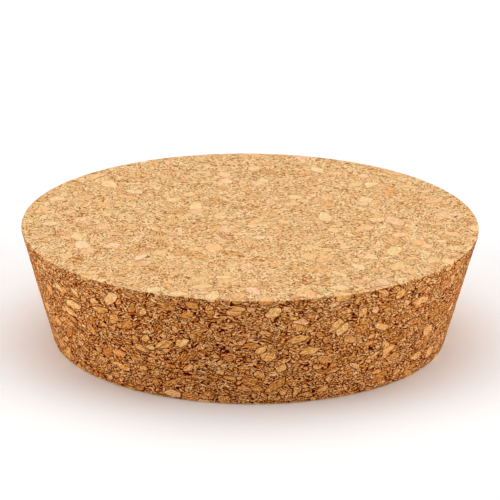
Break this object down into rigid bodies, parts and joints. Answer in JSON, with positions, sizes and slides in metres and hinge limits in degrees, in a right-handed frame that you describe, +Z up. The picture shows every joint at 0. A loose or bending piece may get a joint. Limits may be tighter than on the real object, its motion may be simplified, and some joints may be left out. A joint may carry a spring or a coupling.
{
  "type": "cork stopper",
  "caption": "Wide tapered stopper pressed from cork granules: a low solid cone with flat faces that plugs a round jar mouth.",
  "frame": {"origin": "centre of the narrow foot, on the surface it stands on", "axes": "+Z up the stopper's axis, from the narrow foot to the wide top face; X and Y are any two directions across it"},
  "size_m": [0.0998, 0.0998, 0.0257],
  "materials": {
    "cork": "matt pressed cork granules, sanded flat on both faces, open and slightly pitted on the tapered side"
  },
  "bodies": {
    "root": {"stopper": "cork"}
  },
  "joints": []
}
